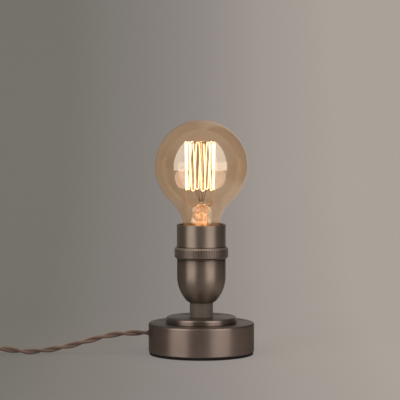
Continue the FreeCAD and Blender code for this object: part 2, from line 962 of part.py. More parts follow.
def make_globe():
    """A blown glass globe that runs into its neck through a hollow curve."""
    rise = globe_centre - neck_bottom
    reach = globe_radius + neck_curve
    gap = neck_radius * neck_radius + rise * rise
    along = (neck_curve * neck_curve - reach * reach + gap) / (gap * 2)
    aside = ((neck_curve * neck_curve) / gap - along * along).root()
    curve_across = neck_radius - neck_radius * along + rise * aside
    curve_up = neck_bottom + rise * along + neck_radius * aside
    join_across = globe_radius * curve_across / reach
    join_up = globe_centre - globe_radius * (globe_centre - curve_up) / reach
    inner_radius = globe_radius - glass_wall
    inner_across = inner_radius * curve_across / reach
    inner_up = globe_centre - inner_radius * (globe_centre - curve_up) / reach
    wall_share = glass_wall / neck_curve
    inner_neck = neck_radius - (curve_across - neck_radius) * wall_share
    inner_neck_up = neck_bottom + (neck_bottom - curve_up) * wall_share
    seal_radius = cap_bore_radius
    seal_bottom = cap_top - 9
    shoulder = neck_bottom - 2.6
    body = turned(
        "globe_body",
        [
            (seal_radius - glass_wall, seal_bottom),
            (seal_radius, seal_bottom),
            (seal_radius, shoulder - 4.6),
            (neck_radius - 2.6, shoulder, 2.9, -1),
            (neck_radius, neck_bottom, neck_curve, 1),
            (join_across, join_up, globe_radius, -1),
            (0, globe_centre + globe_radius),
            (0, globe_centre + inner_radius, inner_radius, 1),
            (inner_across, inner_up, neck_curve + glass_wall, -1),
            (inner_neck, inner_neck_up, 2.4, 1),
            (neck_radius - glass_wall - 2.2, shoulder + 0.3),
            (seal_radius - glass_wall, shoulder - 4.3),
        ],
    )
    keep(body, "bulb_glass")


def make_mount():
    """The glass flare and pinch inside the neck, and the rod that stands on the pinch."""
    seal_radius = cap_bore_radius - glass_wall
    seal_bottom = cap_top - 9
    wall = glass_wall
    body = turned(
        "mount_body",
        [
            (seal_radius - wall * 1.5, seal_bottom),
            (seal_radius, seal_bottom),
            (seal_radius, seal_bottom + 1.5),
            (mount_radius, seal_bottom + 8),
            (mount_radius, mount_top - 6),
            (mount_radius - 2.5, mount_top),
            (0, mount_top),
            (0, mount_top - 6),
            (mount_radius - 2.5, mount_top - 7),
            (mount_radius - wall, mount_top - 9),
            (mount_radius - wall, seal_bottom + 8),
        ],
    )
    keep(body, "glass_mount")
    rod_top = cage_top + rod_reach
    rod = cylinder("rod_shaft", rod_radius, rod_top - mount_top, z=mount_top)
    low = cylinder("rod_low_button", button_radius, button_height, z=mount_top)
    high = cylinder("rod_high_button", button_radius, button_height, z=rod_top - button_height)
    keep(fused("rod", [rod, low, high]), "glass_rod")


HALVES = (0.0, math.pi)
HOOKS_PER_HALF = 4
CAGE_TURN = math.radians(12)
SEAM_GAP = math.radians(8)


def mount_spot(angle, across, up):
    """A point round the bulb's own axis, at an angle from the first lead."""
    turn = CAGE_TURN + angle
    return Vector(math.cos(turn) * across, math.sin(turn) * across, up)


def cage_spot(angle, across, up, sideways=0.0):
    """A point of the cage, which hangs a little to the left; sideways goes along its rim."""
    quarter = angle + math.pi / 2
    rim = mount_spot(angle, across, up) + mount_spot(quarter, sideways, 0)
    return rim - Vector(cage_aside.value, 0, 0)


def hook_angles(half):
    """The angles of the upper and of the lower hooks of one half of the cage."""
    spread = (math.pi - 2 * SEAM_GAP) / HOOKS_PER_HALF
    start = half + SEAM_GAP
    upper = [start + spread * (hook + 0.5) for hook in range(HOOKS_PER_HALF)]
    lower = [start + spread * (hook + 1) for hook in range(HOOKS_PER_HALF - 1)]
    return upper, lower


def make_filament():
    """Two wires, each running up and down round half the cage from lead to lead."""
    side = hook_width.value / 2
    low, high = cage_foot.value, cage_top.value
    foot_radius, head_radius = cage_foot_radius.value, cage_radius.value
    wires, total = [], 0.0
    for half in HALVES:
        upper, lower = hook_angles(half)
        route = [cage_spot(half + SEAM_GAP, foot_radius, low)]
        for index, head in enumerate(upper):
            route.append(cage_spot(head, head_radius, high, -side))
            route.append(cage_spot(head, head_radius, high, side))
            if index < len(lower):
                route.append(cage_spot(lower[index], foot_radius, low, -side))
                route.append(cage_spot(lower[index], foot_radius, low, side))
        route.append(cage_spot(half + math.pi - SEAM_GAP, foot_radius, low))
        edges, _ = rounded_edges(route)
        solid, length = tube_along(edges, filament_radius.value)
        wires.append(solid)
        total += length
    print(f"filament: {total:.0f} mm of wire")
    keep(feature("filament_wires", Part.Compound(wires)), "filament")


def bent_wire(points, radius):
    edges, _ = rounded_edges(points)
    return tube_along(edges, radius)[0]


def make_supports():
    """Hooks that the filament hangs on above and is held down by below."""
    touch = filament_radius.value + support_radius.value + grip_gap.value
    thin = support_radius.value
    past = 0.9
    button = button_radius.value - 0.6
    mid_button = button_height.value / 2
    rod_top = cage_top.value + rod_reach.value
    head_radius, foot_radius = cage_radius.value, cage_foot_radius.value
    upper_wires, lower_wires = [], []
    for half in HALVES:
        upper, lower = hook_angles(half)
        for angle in upper:
            level = cage_top.value - touch
            path = [
                mount_spot(angle, button, rod_top - mid_button),
                cage_spot(angle, head_radius * 0.6, level - 0.3),
                cage_spot(angle, head_radius + past, level),
            ]
            upper_wires.append(bent_wire(path, thin))
        for angle in lower:
            level = cage_foot.value + touch
            path = [
                mount_spot(angle, button, mount_top.value + mid_button),
                cage_spot(angle, foot_radius * 0.6, level + 0.4),
                cage_spot(angle, foot_radius + past, level),
            ]
            lower_wires.append(bent_wire(path, thin))
    keep(feature("upper_hooks", Part.Compound(upper_wires)), "upper_supports")
    keep(feature("lower_hooks", Part.Compound(lower_wires)), "lower_supports")


def make_leads():
    """Two stiff wires: out of the pinch, sideways, and up to a bar at the cage's foot."""
    thick = lead_radius.value
    foot_radius = cage_foot_radius.value
    low = cage_foot.value
    arm = mount_top.value - 0.8
    bar = foot_radius * math.sin(SEAM_GAP) + filament_radius.value
    bar_level = low - thick - grip_gap.value
    leads = []
    for half in HALVES:
        path = [
            mount_spot(half, mount_radius.value - 3.6, arm - 2.4),
            mount_spot(half, mount_radius.value - 0.6, arm),
            cage_spot(half, foot_radius - 0.4, arm + 0.6),
            cage_spot(half, foot_radius, bar_level),
        ]
        upright = bent_wire(path, thick)
        ends = [cage_spot(half, foot_radius, bar_level, aside) for aside in (-bar, bar)]
        across = ends[1] - ends[0]
        crossbar = Part.makeCylinder(thick, across.Length, ends[0], across)
        leads.append(upright.fuse(crossbar))
    keep(feature("leads", Part.Compound(leads)), "lead_in_wires")


# ---------------------------------------------------------------- flex
# The route of the flex, in mm, chosen by hand: out of the base, down to the table in a
# shallow S, along it, and up a little into the switch.
LEAD_ROUTE = [
    (-18.0, 0.0, 18.1),
    (-35.0, 0.0, 18.1),
    (-52.0, 0.1, 18.4),
    (-68.0, 0.3, 17.7),
    (-83.0, 0.4, 15.7),
    (-98.0, 0.0, 11.4),
    (-114.0, -0.9, 7.1),
    (-130.0, -2.9, 4.1),
    (-145.0, -5.2, 2.6),
    (-155.5, -7.05, 2.75),
    (-169.0, -9.43, 5.2),
    (-183.0, -11.9, 6.5),
    (-193.5, -13.75, 6.5),
]
LINK_ROUTE = [
    (-240.7, -22.07, 6.5),
    (-250.7, -23.84, 6.5),
    (-262.3, -25.88, 4.4),
    (-274.1, -27.96, 2.6),
    (-284.1, -29.73, 2.6),
]
SWITCH_CENTRE = (-217.1, -17.91)
FLEX_HEADING = math.radians(10)
PLUG_FROM_COIL = -18.0
TAIL_SIDESTEP = 0.2
COIL_LAYERS = 2
COIL_TURNS = 8 + 12.46 / 360
COIL_START_ANGLE = math.radians(-78.77)


def make_stretch(label, points):
    """A free stretch of flex, named after what it is, along its route."""
    route = [Vector(*point) for point in points]
    edges, radii = rounded_edges(route)
    solid, length = tube_along(edges, flex_radius.value)
    shown = ", ".join(f"{radius:.0f}" for radius in radii)
    print(f"{label}: {length:.0f} mm long, arc radii {shown} mm")
    keep(feature(f"{label}_tube", solid), label)
    return length


def make_bush_and_stop():
    """A tapered rubber bush in the base's wall and a crimped stop behind it."""
    bush = doc.addObject("PartDesign::Body", "bush_body")
    section = new_sketch(bush, "bush_section", rise=flex_rise)
    rim_end = -base_radius
    rim_inner = -(base_radius - base_wall * 2)
    outline(
        section,
        [
            (rim_end, flex_hole_radius),
            (bush_inner_end, flex_hole_radius),
            (bush_inner_end, bush_tail_radius),
            (rim_inner, bush_radius),
            (rim_end, bush_radius),
        ],
    )
    turn_about(bush, section, "H_Axis")
    keep(bush, "cord_bush")

    sideways = Rotation(Vector(0, 1, 0), 90)
    parts = []
    for name, radius in (("stop_rim", stop_radius), ("stop_bore", flex_hole_radius)):
        part = doc.addObject("Part::Cylinder", name)
        part.Placement = Placement(Vector(0, 0, 0), sideways)
        bind(part, Radius=radius, Height=stop_length)
        place(part, x=bush_inner_end, z=flex_rise)
        parts.append(part)
    keep(cut("stop", parts[0], parts[1:]), "cord_stop")


def make_cores():
    """The two insulated cores, from the end of the flex up the tube to the terminals."""
    spread = 1.4
    low = plate_top.value + core_radius.value + 1.5
    entry = terminal_entry_offset.value
    for side, label in ((-1, "core_neutral"), (1, "core_live")):
        beside = side * spread
        route = [
            Vector(flex_start.value, beside, flex_rise.value),
            Vector(-12.5, beside, flex_rise.value),
            Vector(-9.5, beside, low),
            Vector(0, beside, low),
            Vector(0, beside, tube_top.value + 2.0),
            Vector(-entry, side * terminal_offset.value, tube_top.value + 5.5),
            Vector(-entry, side * terminal_offset.value, insert_bottom.value),
        ]
        edges, _ = rounded_edges(route)
        solid, _ = tube_along(edges, core_radius.value)
        keep(feature(f"{label}_wire", solid), label)


def biarc(start, start_way, end, end_way):
    """Two arcs, tangent to each other and to the two given ways."""
    span = end - start
    ways = start_way + end_way
    a = ways.dot(ways) - 4
    b = -2 * span.dot(ways)
    c = span.dot(span)
    reach = -c / b if abs(a) < 1e-12 else (-b - math.sqrt(b * b - 4 * a * c)) / (2 * a)
    first, second = start + start_way * reach, end - end_way * reach
    joint = (first + second) / 2
    arcs = []
    for from_point, corner, to_point in ((start, first, joint), (joint, second, end)):
        toward = ((from_point + to_point) / 2 - corner).normalize()
        half_turn = (corner - from_point).getAngle(to_point - corner) / 2
        radius = reach / math.tan(half_turn)
        middle = corner + toward * (radius / math.cos(half_turn) - radius)
        arcs.append(Part.Arc(from_point, middle, to_point).toShape())
    return arcs


def coil_station(turn, inward, centre, low):
    """The place and the way of the coil after some turns; it winds clockwise from above."""
    step = coil_step.value
    angle = COIL_START_ANGLE - 2 * math.pi * turn
    outward = Vector(math.cos(angle), math.sin(angle), 0)
    onward = Vector(math.sin(angle), -math.cos(angle), 0)
    on_table = turn < inward + 1e-6
    to_go = inward - turn if on_table else turn - inward - 0.5
    radius = coil_inner_radius.value + step * to_go
    rate = -step if on_table else step
    up = low if on_table else low + step
    way = onward * (2 * math.pi * radius) + outward * rate
    return centre + outward * radius + Vector(0, 0, up), way.normalize()


def make_coil():
    """The length put away: spirals in on the table, climbs, and spirals out on top."""
    inward = (COIL_TURNS - 0.5) / COIL_LAYERS
    low = flex_radius.value
    outer = coil_inner_radius.value + coil_step.value * inward
    arriving = Vector(-math.cos(FLEX_HEADING), -math.sin(FLEX_HEADING), 0)
    last = Vector(*LINK_ROUTE[-1])
    begin = last + arriving * flex_diameter.value
    outward = Vector(math.cos(COIL_START_ANGLE), math.sin(COIL_START_ANGLE), 0)
    centre = Vector(begin.x, begin.y, 0) - outward * outer
    quarters = round(inward * 4)
    turns = [inward * index / quarters for index in range(quarters + 1)]
    turns += [inward + 0.5 + turn for turn in turns]
    stations = [coil_station(turn, inward, centre, low) for turn in turns]
    edges = [Part.LineSegment(last, stations[0][0]).toShape()]
    for (start, start_way), (end, end_way) in zip(stations, stations[1:]):
        edges += biarc(start, start_way, end, end_way)
    end, way = stations[-1]
    edges.append(Part.LineSegment(end, end + way * flex_diameter.value).toShape())
    solid, length = tube_along(edges, flex_radius.value)
    gap = least_gap(edges, flex_diameter.value, math.pi * coil_inner_radius.value)
    finish = end + way * flex_diameter.value
    print(f"cord_coil: {length:.0f} mm long, least gap to itself {gap:.2f} mm")
    print(f"cord_coil: centre {centre.x:.1f}, {centre.y:.1f}, outer radius {outer:.1f} mm")
    print(f"cord_coil: ends at {finish.x:.3f}, {finish.y:.3f}, {finish.z:.3f}")
    keep(feature("coil_tube", solid), "cord_coil")
    return length, finish


def make_tail(start):
    """The last stretch, from the coil's outer end down to the plug that lies beside it."""
    entry = plug_thickness.value / 2
    aside = start.y + TAIL_SIDESTEP
    route = [
        start,
        start + Vector(-7.0, 0, 0),
        Vector(start.x - 15.0, aside, entry),
        Vector(start.x - 24.0, aside, entry),
    ]
    return make_stretch("cord_tail", route)


def least_gap(edges, diameter, apart):
    """The least clear distance between two turns, on points along the centreline."""
    spots, run = [], 0.0
    for edge in edges:
        count = max(2, round(edge.Length / 2.5))
        for spot in edge.discretize(count + 1)[:-1]:
            spots.append((run, spot))
            run += edge.Length / count
    least = min(
        one.distanceToPoint(other)
        for index, (here, one) in enumerate(spots)
        for there, other in spots[index + 1 :]
        if there - here > apart
    )
    return least - diameter


# ---------------------------------------------------------------- inline switch
def switch_outline(sketch, inset):
    half, side = switch_length / 2, switch_width / 2
    end, shoulder = switch_end_width / 2, switch_length / 2 - switch_shoulder
    outline(
        sketch,
        [
            (-half + inset, -end + inset),
            (-shoulder + inset, -side + inset),
            (shoulder - inset, -side + inset),
            (half - inset, -end + inset),
            (half - inset, end - inset),
            (shoulder - inset, side - inset),
            (-shoulder + inset, side - inset),
            (-half + inset, end - inset),
        ],
    )


def switch_place():
    turn = Rotation(Vector(0, 0, 1), math.degrees(FLEX_HEADING))
    return Placement(Vector(*SWITCH_CENTRE, 0), turn)


def switch_screw_spots():
    across = switch_length / 2 - switch_shoulder / 2
    aside = switch_end_width / 2 + 0.6
    return [(across, -aside), (-across, aside)]


def half_shell(name, low, height, floor_low, crown=None):
    """One half of the switch's case, hollow in the middle, with a channel for the flex."""
    body = doc.addObject("PartDesign::Body", name)
    plan = new_sketch(body, f"{name}_plan", "XY_Plane", lift=low)
    switch_outline(plan, as_size(0))
    pad = padded(body, plan, height)
    if crown is not None:
        doc.recompute()
        chamfer = body.newObject("PartDesign::Chamfer", f"{name}_crown")
        edges = [
            f"Edge{index}"
            for index, edge in enumerate(pad.Shape.Edges, 1)
            if min(spot.Z for spot in edge.Vertexes) > (low + height).value - 0.01
        ]
        chamfer.Base = (pad, edges)
        bind(chamfer, Size=crown)
    hollow = new_sketch(body, f"{name}_hollow", "XY_Plane", lift=floor_low)
    inside = switch_length / 2 - switch_shoulder + 1
    side = switch_width / 2 - switch_wall
    rectangle(hollow, -inside, -side, inside, side)
    pocketed(body, hollow, height - switch_wall, reverse=True)
    channel = new_sketch(body, f"{name}_channel", "YZ_Plane")
    circle(channel, 0, switch_flex_rise, flex_hole_radius)
    pocketed(body, channel, switch_length + 2, midplane=True)
    return body


def make_switch_case():
    middle = switch_height / 2
    base = half_shell("switch_base_body", as_size(0), middle, switch_wall)
    wells = new_sketch(base, "switch_head_wells", "XY_Plane")
    for x, y in switch_screw_spots():
        circle(wells, x, y, switch_screw_head_radius + slip_gap)
    pocketed(base, wells, as_size(2), reverse=True)
    holes = new_sketch(base, "switch_base_holes", "XY_Plane")
    for x, y in switch_screw_spots():
        circle(holes, x, y, switch_screw_radius + thread_gap)
    pocketed(base, holes, middle, reverse=True)
    keep(base, "switch_base")

    cover = half_shell("switch_cover_body", middle, middle, middle, switch_chamfer)
    cheeks = new_sketch(cover, "cheek_plan", "XY_Plane", lift=rocker_pivot_rise - 2)
    near = rocker_width / 2 + rocker_side_play
    far = near + cheek_thickness
    for side in (-1, 1):
        low_y, high_y = (near, far) if side > 0 else (-far, -near)
        rectangle(cheeks, as_size(-5), low_y, as_size(5), high_y)
    padded(cover, cheeks, switch_height - rocker_pivot_rise + 2 - switch_chamfer)
    window = new_sketch(cover, "rocker_window", "XY_Plane", lift=middle)
    half = rocker_length / 2 + rocker_play
    rectangle(window, -half, -near, half, near)
    pocketed(cover, window, middle + 1, reverse=True)
    bearing = new_sketch(cover, "axle_bearing")
    circle(bearing, 0, rocker_pivot_rise, axle_radius + axle_play)
    pocketed(cover, bearing, far * 2 + 0.4, midplane=True)
    pilots = new_sketch(cover, "switch_pilots", "XY_Plane", lift=middle)
    for x, y in switch_screw_spots():
        circle(pilots, x, y, switch_screw_radius + thread_gap)
    pocketed(cover, pilots, middle - switch_wall * 2, reverse=True)
    keep(cover, "switch_cover")
    for body in (base, cover):
        body.Placement = switch_place()


def make_rocker():
    """A rocker with a hollowed V-shaped top on a stub axle, pressed down at one end."""
    body = doc.addObject("PartDesign::Body", "rocker_body")
    side = new_sketch(body, "rocker_side")
    half = rocker_length / 2
    low = rocker_pivot_rise - 0.6
    high = rocker_pivot_rise + rocker_rise
    outline(
        side,
        [(-half, low), (half, low), (half, high), (0, high - rocker_dip), (-half, high)],
    )
    padded(body, side, rocker_width, midplane=True)
    axle = new_sketch(body, "rocker_axle")
    circle(axle, 0, rocker_pivot_rise, axle_radius)
    width = (rocker_width / 2 + rocker_side_play + axle_reach) * 2
    padded(body, axle, width, midplane=True)
    pivot = Vector(0, 0, rocker_pivot_rise.value)
    tilt = Placement(Vector(0, 0, 0), Rotation(Vector(0, 1, 0), rocker_tilt.value), pivot)
    body.Placement = switch_place().multiply(tilt)
    keep(body, "switch_rocker")


def make_switch_insides():
    screws = []
    for number, (x, y) in enumerate(switch_screw_spots()):
        head = cylinder(f"switch_head_{number}", switch_screw_head_radius, 1.4, x, y, 0.6)
        reach = switch_height - switch_wall * 3 - 2
        shank = cylinder(f"switch_shank_{number}", switch_screw_radius, reach, x, y, 2)
        screws.append(fused(f"switch_screw_{number}", [head, shank]))
    pair = group("switch_screw_pair", screws)
    pair.Placement = switch_place()
    keep(pair, "switch_screws")
    strips = []
    for side in (-1, 1):
        x, y = -(strip_length / 2), strip_offset * side - strip_width / 2
        sizes = (strip_length, strip_width, strip_height)
        strips.append(block(f"strip_{side + 1}", *sizes, x, y, switch_wall))
    contacts = group("switch_strips", strips)
    contacts.Placement = switch_place()
    keep(contacts, "switch_contacts")


# ---------------------------------------------------------------- plug
def make_plug(coil_end):
    """A flat two-pin plug lying on the table, with a tapered nose round the flex."""
    entry = Vector(coil_end.x + PLUG_FROM_COIL, coil_end.y + TAIL_SIDESTEP, 0)
    back = Placement(entry, Rotation(Vector(0, 0, 1), 180))
    body = doc.addObject("PartDesign::Body", "plug_body_solid")
    plan = new_sketch(body, "plug_plan", "XY_Plane", lift=plug_thickness / 2)
    start = plug_nose_length
    wide = start + plug_shoulder
    end = start + plug_body_length
    neck, side = plug_neck_width / 2, plug_width / 2
    outline(
        plan,
        [
            (start, -neck),
            (wide, -side),
            (end, -side),
            (end, side),
            (wide, side),
            (start, neck),
        ],
    )
    pad = padded(body, plan, plug_thickness, midplane=True)
    doc.recompute()
    rounding = body.newObject("PartDesign::Fillet", "plug_rounding_edges")
    edges = [
        f"Edge{index}"
        for index, edge in enumerate(pad.Shape.Edges, 1)
        if edge.CenterOfMass.x < end.value - 0.1
    ]
    rounding.Base = (pad, edges)
    bind(rounding, Radius=plug_rounding)
    middle = plug_thickness / 2
    nose = new_sketch(body, "nose_section", rise=middle)
    outline(
        nose,
        [
            (0, 0),
            (start + 4, 0),
            (start + 4, plug_nose_root_radius),
            (start, plug_nose_root_radius),
            (0, plug_nose_radius),
        ],
    )
    turn_about(body, nose, "H_Axis")
    bore = new_sketch(body, "plug_bore", "YZ_Plane")
    circle(bore, 0, middle, flex_hole_radius)
    pocketed(body, bore, as_size(6), reverse=True)
    sockets = new_sketch(body, "pin_sockets", "YZ_Plane", lift=end)
    for half in (-1, 1):
        circle(sockets, pin_spacing / 2 * half, middle, pin_root_radius + thread_gap)
    pocketed(body, sockets, pin_root)
    body.Placement = back
    keep(body, "plug_body")

    pins = []
    sideways = Rotation(Vector(0, 1, 0), 90)
    for half in (-1, 1):
        y = pin_spacing / 2 * half
        stretches = []
        for part, wide, long, from_x in (
            ("root", pin_root_radius, pin_root, end - pin_root),
            ("shaft", pin_radius, pin_length - pin_radius, end),
        ):
            stretch = doc.addObject("Part::Cylinder", f"pin_{part}_{half + 1}")
            stretch.Placement = Placement(Vector(0, 0, 0), sideways)
            bind(stretch, Radius=wide, Height=long)
            place(stretch, from_x, y, middle)
            stretches.append(stretch)
        tip = doc.addObject("Part::Sphere", f"pin_tip_{half + 1}")
        bind(tip, Radius=pin_radius)
        place(tip, end + pin_length - pin_radius, y, middle)
        pins.append(fused(f"pin_{half + 1}", [*stretches, tip]))
    pair = group("pin_pair", pins)
    pair.Placement = back
    keep(pair, "plug_pins")


def check_and_write():
    """Every object has to be whole before anything is written."""
    doc.recompute()
    for thing in doc.Objects:
        if "Invalid" in thing.State or "Error" in thing.State:
            raise ValueError(f"{thing.Name} did not come out: {thing.State}")
    os.makedirs("parts", exist_ok=True)
    pieces = [doc.getObjectsByLabel(label)[0] for label in nodes]
    for piece in pieces:
        if piece.Shape.isNull() or not piece.Shape.isValid() or not piece.Shape.Solids:
            raise ValueError(f"{piece.Label} is not a valid solid")
    for piece in pieces:
        piece.Shape.exportStep(f"parts/{piece.Label}.step")
    print(f"{len(pieces)} nodes written")


make_pad()
make_base_shell()
make_plate_and_screws()
make_weight()
make_tube_and_nuts()
make_disc()
make_stem()
make_cup()
make_ring()
make_skirt()
make_insert()
make_terminals()
make_contact()
make_screw_shell()
make_tip()
make_insulator()
make_cap()
make_globe()
make_mount()
make_filament()
make_supports()
make_leads()
make_bush_and_stop()
make_cores()
flex_length = make_stretch("cord_lead", LEAD_ROUTE)
flex_length += make_stretch("cord_link", LINK_ROUTE)
coil_length, coil_end = make_coil()
flex_length += coil_length + make_tail(coil_end)
print(f"flex in tubes: {flex_length:.0f} mm")
make_switch_case()
make_rocker()
make_switch_insides()
make_plug(coil_end)
check_and_write()
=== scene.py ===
"""The looks of a table lamp with a bare globe bulb: satin bronze, amber glass, twisted flex."""

import math

import bmesh
import bpy
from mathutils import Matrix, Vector


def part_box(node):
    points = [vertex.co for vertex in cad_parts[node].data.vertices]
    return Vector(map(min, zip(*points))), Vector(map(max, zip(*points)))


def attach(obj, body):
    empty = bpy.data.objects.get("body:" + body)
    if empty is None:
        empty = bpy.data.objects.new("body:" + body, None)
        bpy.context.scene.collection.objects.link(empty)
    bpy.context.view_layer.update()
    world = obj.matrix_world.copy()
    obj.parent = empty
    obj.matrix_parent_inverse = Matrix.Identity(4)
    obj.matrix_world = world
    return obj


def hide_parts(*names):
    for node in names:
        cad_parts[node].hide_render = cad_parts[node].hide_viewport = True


MM = 0.001

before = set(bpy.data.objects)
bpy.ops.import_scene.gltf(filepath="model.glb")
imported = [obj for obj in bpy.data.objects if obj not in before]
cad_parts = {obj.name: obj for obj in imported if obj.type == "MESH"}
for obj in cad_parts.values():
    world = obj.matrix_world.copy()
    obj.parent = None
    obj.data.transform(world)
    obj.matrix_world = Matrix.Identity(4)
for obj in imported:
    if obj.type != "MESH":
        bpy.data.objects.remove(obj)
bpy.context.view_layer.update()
scene = bpy.context.scene


# ---------------------------------------------------------------- places, from the frame
def top(node):
    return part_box(node)[1].z


def bottom(node):
    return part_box(node)[0].z


def radius(node):
    low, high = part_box(node)
    return (high.y - low.y) / 2


LAMP_TOP = top("bulb_glass")


# ---------------------------------------------------------------- camera
CAMERA_AWAY = 1.8
CAMERA_HEIGHT = 0.2517
AIM_HEIGHT = 0.1342
AIM_ASIDE = -0.0012
FOCAL_LENGTH = 187.0


def make_camera():
    """A long lens a little above the table, looking at the lamp from the front."""
    data = bpy.data.cameras.new("camera")
    data.lens = FOCAL_LENGTH
    data.clip_start = 0.05
    camera = bpy.data.objects.new("camera", data)
    scene.collection.objects.link(camera)
    camera.location = (AIM_ASIDE, -CAMERA_AWAY, CAMERA_HEIGHT)
    aim = Vector((AIM_ASIDE, 0, AIM_HEIGHT)) - camera.location
    camera.rotation_euler = aim.to_track_quat("-Z", "Y").to_euler()
    scene.camera = camera


# ---------------------------------------------------------------- materials
class Shader:
    """A material whose nodes are added by name and linked through their inputs."""

    def __init__(self, name):
        self.material = bpy.data.materials.new(name)
        self.material.use_nodes = True
        self.nodes = self.material.node_tree.nodes
        self.links = self.material.node_tree.links
        self.surface = self.nodes["Principled BSDF"]

    def add(self, kind, inputs=None, **settings):
        node = self.nodes.new(f"ShaderNode{kind}")
        for key, value in settings.items():
            setattr(node, key, value)
        self.feed(node, inputs or {})
        return node

    def feed(self, node, inputs):
        for key, value in inputs.items():
            socket = node.inputs[key]
            if isinstance(value, bpy.types.NodeSocket):
                self.links.new(value, socket)
            elif isinstance(value, bpy.types.Node):
                self.links.new(value.outputs[0], socket)
            else:
                socket.default_value = value

    def set(self, **inputs):
        """Sets or links the surface's inputs, written with underscores for spaces."""
        named = {key.replace("_", " "): value for key, value in inputs.items()}
        self.feed(self.surface, named)
        return self

    def place(self):
        return self.add("TexCoord").outputs["Object"]

    def noise(self, scale, detail=3.0, roughness=0.5, where=None, stretch=None):
        where = where or self.place()
        if stretch:
            where = self.add("Mapping", {"Vector": where, "Scale": stretch})
        return self.add(
            "TexNoise",
            {"Vector": where, "Scale": scale, "Detail": detail, "Roughness": roughness},
        ).outputs["Fac"]

    def ramp(self, factor, *stops):
        """Colours or greys along a factor, as (position, colour or grey)."""
        node = self.add("ValToRGB", {"Fac": factor})
        elements = node.color_ramp.elements
        while len(elements) < len(stops):
            elements.new(0.5)
        for element, (position, value) in zip(elements, stops):
            element.position = position
            grey = isinstance(value, (int, float))
            element.color = (value, value, value, 1) if grey else (*value, 1)
        return node.outputs["Color"]

    def math(self, operation, first, second=0.0):
        node = self.add("Math", operation=operation)
        self.feed(node, {0: first, 1: second})
        return node.outputs[0]

    def bump(self, height, distance, strength=1.0, normal=None):
        inputs = {"Height": height, "Distance": distance, "Strength": strength}
        if normal is not None:
            inputs["Normal"] = normal
        return self.add("Bump", inputs).outputs["Normal"]


def bronze(
    name,
    dark,
    light,
    metallic=0.95,
    gloss=0.37,
    brushed=0.7,
    painted_light_bands=(),
    edge=1.0,
    top_edge=None,
):
    """Satin bronze, brushed while it turned, so that its gleams stand upright.

    Pairs of (height in mm, share) paint light and shade by height: shares under one are painted
    shade, shares over one painted highlight.
    The edge is the share of light that comes off where the surface turns away from the eye,
    and top_edge is that share at the last band.
    """
    shader = Shader(name)
    shader.feed(shader.surface, {"Tangent": shader.add("Tangent", axis="Z")})
    mottle = shader.noise(38, 4, 0.6)
    peel = shader.noise(900, 2, 0.5)
    smudge = shader.noise(70, 3, 0.65)
    colour = shader.ramp(mottle, (0.3, dark), (0.72, light))
    tint = (edge, edge, edge, 1)
    # Painted shade and painted highlight by height, multiplied into the mottled colour.
    if painted_light_bands:
        low, high = painted_light_bands[0][0], painted_light_bands[-1][0]
        level = shader.add("SeparateXYZ", {"Vector": shader.place()}).outputs["Z"]
        span = {"Value": level, "From Min": low * MM, "From Max": high * MM}
        stops = [((up - low) / (high - low), share / 2) for up, share in painted_light_bands]
        share = shader.add("MapRange", span).outputs["Result"]
        shade = shader.ramp(share, *stops)
        if top_edge:
            tint = shader.ramp(share, (0.0, edge), (1.0, top_edge))
        twice = shader.add("VectorMath", {0: shade, 1: colour}, operation="MULTIPLY")
        colour = shader.add("VectorMath", {0: twice, "Scale": 2.0}, operation="SCALE")
    return shader.set(
        Base_Color=colour,
        Metallic=metallic,
        Specular_Tint=tint,
        Roughness=shader.ramp(smudge, (0.3, gloss - 0.04), (0.7, gloss + 0.06)),
        Anisotropic=brushed,
        Anisotropic_Rotation=0.25,
        Normal=shader.bump(peel, 0.00006, 0.35),
    ).material


def plain_metal(name, colour, gloss, scratches=0.5, painted_glow=None):
    """Bare plated metal with short fine scratches, with a painted glow that stands in for light
    falling on it.
    """
    shader = Shader(name)
    if painted_glow:
        shader.set(Emission_Color=(*painted_glow, 1), Emission_Strength=1.0)
    scratch = shader.noise(400, 3, 0.7, stretch=(1, 1, 0.15))
    stain = shader.noise(120, 3, 0.6)
    darker = tuple(channel * 0.82 for channel in colour)
    return shader.set(
        Base_Color=shader.ramp(stain, (0.35, darker), (0.65, colour)),
        Metallic=1.0,
        Roughness=shader.ramp(scratch, (0.3, gloss - 0.06), (0.75, gloss + 0.12)),
        Normal=shader.bump(scratch, 0.00004, scratches),
    ).material


def moulded(name, colour, gloss=0.45):
    """Moulded plastic or rubber with a fine spark-eroded grain."""
    shader = Shader(name)
    grain = shader.noise(2600, 2, 0.5)
    cloud = shader.noise(60, 2, 0.5)
    lighter = tuple(channel * 1.25 for channel in colour)
    return shader.set(
        Base_Color=shader.ramp(cloud, (0.35, colour), (0.7, lighter)),
        Roughness=shader.ramp(cloud, (0.3, gloss - 0.04), (0.7, gloss + 0.05)),
        Normal=shader.bump(grain, 0.00005, 0.4),
    ).material


def felt(name, colour):
    shader = Shader(name)
    hair = shader.noise(1500, 5, 0.75)
    lighter = tuple(channel * 1.8 for channel in colour)
    return shader.set(
        Base_Color=shader.ramp(hair, (0.35, colour), (0.7, lighter)),
        Roughness=0.95,
        Specular_IOR_Level=0.2,
        Sheen_Weight=0.05,
        Normal=shader.bump(hair, 0.0003, 0.6),
    ).material


def cast_iron(name):
    shader = Shader(name)
    skin = shader.noise(500, 5, 0.7)
    return shader.set(
        Base_Color=shader.ramp(skin, (0.35, (0.05, 0.048, 0.045)), (0.7, (0.11, 0.1, 0.09))),
        Metallic=0.6,
        Roughness=0.7,
        Normal=shader.bump(skin, 0.0003, 0.6),
    ).material


def porcelain(name):
    shader = Shader(name)
    speck = shader.noise(300, 2, 0.5)
    return shader.set(
        Base_Color=shader.ramp(speck, (0.4, (0.82, 0.8, 0.74)), (0.6, (0.88, 0.86, 0.81))),
        Roughness=0.18,
        Coat_Weight=0.5,
        Normal=shader.bump(speck, 0.00004, 0.2),
    ).material


